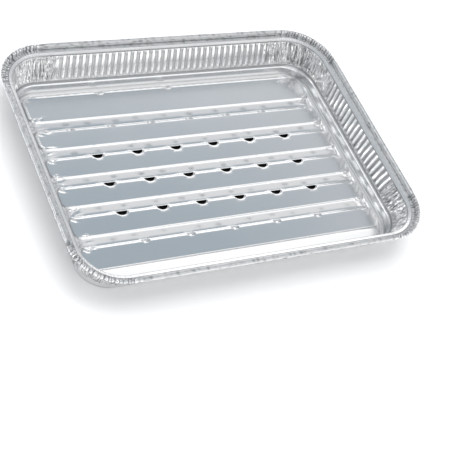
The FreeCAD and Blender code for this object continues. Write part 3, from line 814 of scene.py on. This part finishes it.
def make_floor(foil):
    """Ridged and perforated floor: points set along its forms, joined into one sheet."""
    boundary = []
    edges = []
    for outline in [trough_outline(0, 1.5)] + [hole_outline(cx, cy) for cx, cy in slot_centres()]:
        first, count = len(boundary), len(outline)
        boundary += outline
        edges += [(first + i, first + (i + 1) % count) for i in range(count)]
    everything = [Vector(p) for p in np.vstack([np.array(boundary), form_points(), ring_points()])]
    verts, _, faces, _, _, _ = delaunay_2d_cdt(everything, edges, [], 1, 0.02)
    flat = np.array([tuple(v) for v in verts])
    triangles = np.array([tuple(f) for f in faces])
    middle_x, middle_y = flat[triangles].mean(axis=1).T
    keep = np.ones(len(triangles), bool)
    for cx, cy in slot_centres():
        keep &= (np.hypot(middle_x - cx, middle_y - cy) >= SLOT_RADIUS) | (middle_y >= cy + SLOT_FLAT)
    triangles = triangles[keep]
    x, y = flat[:, 0], flat[:, 1]
    level = floor_level(x, y) + crumpled_floor(x, y)
    level = np.maximum(level, TROUGH_LEVEL)
    mesh = bpy.data.meshes.new("ridged_floor")
    mesh.from_pydata(np.column_stack([x, y, level]) * MM, [], triangles.tolist())
    mesh.validate()
    # painted shade of the grooves, stored as fold
    mesh.attributes.new("fold", "FLOAT", "POINT").data.foreach_set("value", groove_painted_shade(x, y))
    mesh.materials.append(foil)
    return new_object("ridged_floor", mesh)


def give_thickness(piece):
    """Gives the sheet the foil's thickness, half on each side, and keeps its folds crisp."""
    thick = piece.modifiers.new("Foil", "SOLIDIFY")
    thick.thickness = SHEET * MM * DRAWN_SHARE
    thick.offset = 0.0
    plain_mesh(piece)
    piece.data.shade_smooth()
    piece.data.set_sharp_from_angle(angle=math.radians(SHARP_FROM))


# ---------------------------------------------------------------- foil
def foil_material(name, tint, roughness, grain, rolling,
                  crinkle=0.0, crinkle_shape=(1, 1, 1), everywhere=0.2):
    """Bright rolled foil: rolling lines, fine grain, crinkles where it was worked, painted shade in the
    folds, which are also duller.

    Grain, rolling and crinkle are the heights of these marks; everywhere is the crinkles' share of
    their height where the foil was not worked.
    """
    material = bpy.data.materials.new(name)
    g = fresh_graph(material)
    place = g.add("ShaderNodeTexCoord")[3]
    rolled = g.add("ShaderNodeMapping", {}, {"Vector": place, "Scale": (30.0, 700.0, 700.0)})[0]
    lines = g.noise(rolled, 1.0, 3.0, 0.6)
    worked = g.add("ShaderNodeMapping", {}, {"Vector": place, "Scale": crinkle_shape})[0]
    crinkles = g.noise(worked, 1.0, 3.0, 0.65)
    ridges = 1 - (crinkles * 2 - 1).math("ABSOLUTE")
    worked_most = g.add("ShaderNodeAttribute", {"attribute_name": "worked"})[2]
    worked_here = everywhere + worked_most * (1 - everywhere)
    fine = g.noise(place, 1100.0, 2.0, 0.5)
    patches = g.noise(place, 14.0, 2.0, 0.5)
    # Painted shade: the fold attribute darkens the colour towards a near-black tint in folds and crevices,
    # and roughens the foil there.
    fold = g.add("ShaderNodeAttribute", {"attribute_name": "fold"})[2]
    painted_shade = (fold * (0.55 + fine * 0.7)).clamped()
    dull = (roughness + patches * 0.05 + lines * 0.04 + painted_shade * 0.25).clamped()
    darker = [channel * 0.96 for channel in tint]
    metal = g.blend(patches * 0.5 + lines * 0.5, (*darker, 1.0), (*tint, 1.0))
    colour = g.blend(painted_shade * 0.85, metal, (*PAINTED_SHADE_TINT, 1.0))
    height = fine * grain + lines * rolling + ridges * worked_here * crinkle
    surface = g.add("ShaderNodeBump", {}, {"Strength": 1.0, "Distance": 0.0002, "Height": height})[0]
    shader = g.add("ShaderNodeBsdfPrincipled", {}, {
        "Base Color": colour, "Metallic": 1.0, "Roughness": dull, "Normal": surface,
    })[0]
    g.add("ShaderNodeOutputMaterial", {}, {"Surface": shader})
    return material


# ---------------------------------------------------------------- studio
def paper(name, colour):
    """Matt backdrop paper, a little brighter where it is seen or mirrored than where it lights the tray."""
    material = bpy.data.materials.new(name)
    g = fresh_graph(material)
    light_path = {value.socket.name: value for value in g.add("ShaderNodeLightPath")}
    shown = light_path["Is Camera Ray"].math("MAXIMUM", light_path["Is Glossy Ray"])
    dim = colour * 0.9
    tone = g.blend(shown, (dim, dim, dim, 1.0), (colour, colour, colour, 1.0))
    matt = g.add("ShaderNodeBsdfDiffuse", {}, {"Color": tone})[0]
    g.add("ShaderNodeOutputMaterial", {}, {"Surface": matt})
    return material


def make_studio():
    """Pale ground with a near-black patch of painted shadow where the tray covers it, one wide lamp
    overhead and a soft surround.
    """
    half, under_x, under_y = 6.0, (EDGE_X - 14) * MM, (EDGE_Y - 20) * MM
    corners = [(x * sx, y * sy, 0) for x, y in ((half, half), (under_x, under_y))
               for sx, sy in ((-1, -1), (1, -1), (1, 1), (-1, 1))]
    faces = [(4, 5, 6, 7)] + [(i, (i + 1) % 4, 4 + (i + 1) % 4, 4 + i) for i in range(4)]
    floor_mesh = bpy.data.meshes.new("studio_floor")
    floor_mesh.from_pydata(corners, [], faces)
    floor_mesh.materials.append(paper("studio_paper", 1.0))
    # Painted shadow: near-black paper under the tray, seen through the drain holes.
    floor_mesh.materials.append(paper("painted_shadow_paper", 0.02))
    floor_mesh.polygons[0].material_index = 1
    new_object("studio_floor", floor_mesh)

    lamp_data = bpy.data.lights.new("overhead_lamp", "AREA")
    lamp_data.shape = "SQUARE"
    lamp_data.size = 1.3
    lamp_data.energy = 15.0
    lamp = new_object("overhead_lamp", lamp_data)
    lamp.visible_glossy = False
    lamp.location = (0.0, 0.1, 1.5)
    make_surround()


def make_surround():
    """Even grey surround with soft screens on it, brighter and darker, which the foil mirrors."""
    world = bpy.data.worlds.new("studio_surround")
    bpy.context.scene.world = world
    g = fresh_graph(world)
    direction = g.add("ShaderNodeTexCoord")[0]
    tone = (*SURROUND_TINT, 1.0)
    for *angles, colour in SCREENS:
        bearing, height, inner, outer = [math.radians(angle) for angle in angles]
        level = math.cos(height)
        middle = (math.sin(bearing) * level, math.cos(bearing) * level, math.sin(height))
        nearness = g.add("ShaderNodeVectorMath", {"operation": "DOT_PRODUCT"}, {0: direction, 1: middle})[1]
        cover = nearness.step(math.cos(outer), math.cos(inner))
        tone = g.blend(cover, tone, (*colour, 1.0))
    light = g.add("ShaderNodeBackground", {}, {"Color": tone, "Strength": 1.0})[0]
    g.add("ShaderNodeOutputWorld", {}, {"Surface": light})


def make_camera():
    """Looks down on the tray from its front left, a little turned about its own axis."""
    data = bpy.data.cameras.new("camera")
    data.sensor_width = 36.0
    data.lens = 89.15
    data.clip_end = 20.0
    camera = new_object("camera", data)
    camera.location = (-0.4613, -0.5394, 0.7187)
    camera.rotation_euler = Euler([math.radians(angle) for angle in (39.06, -18.04, -23.69)])
    bpy.context.scene.camera = camera


# ---------------------------------------------------------------- the tray
make_camera()
make_studio()
bpy.context.scene.view_settings.view_transform = "Standard"

smooth_foil = foil_material("smooth_foil", FOIL_TINT, roughness=0.14, grain=0.03, rolling=0.04)
folded_foil = foil_material("folded_foil", WALL_TINT, roughness=0.12, grain=0.05, rolling=0.03,
                            crinkle=0.35, crinkle_shape=(420, 420, 80), everywhere=0.1)
rolled_foil = foil_material("rolled_foil", FOIL_TINT, roughness=0.17, grain=0.05, rolling=0.03,
                            crinkle=0.9, crinkle_shape=(420, 420, 420), everywhere=0.35)

round_the_tray = sweep_tree()
side = swept(trough_section(), round_the_tray, smooth_foil, steps=(30, 60, 40), seed=1.0)
wall = swept(pleat_section(), round_the_tray, folded_foil, steps=(169, 150, 280), seed=1.0)
flange = swept(flange_section(), round_the_tray, rolled_foil,
               steps=(60, 240, 80), seed=5.0, tick_depth=FLANGE_TICK)
rim = swept(rim_section(), round_the_tray, rolled_foil,
            steps=(46, 222, 60), seed=5.0, tick_depth=RIM_TICK)
floor = make_floor(smooth_foil)
for piece in (floor, side, wall, flange, rim):
    give_thickness(piece)
    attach(piece, "root")
    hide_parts("grill_tray")
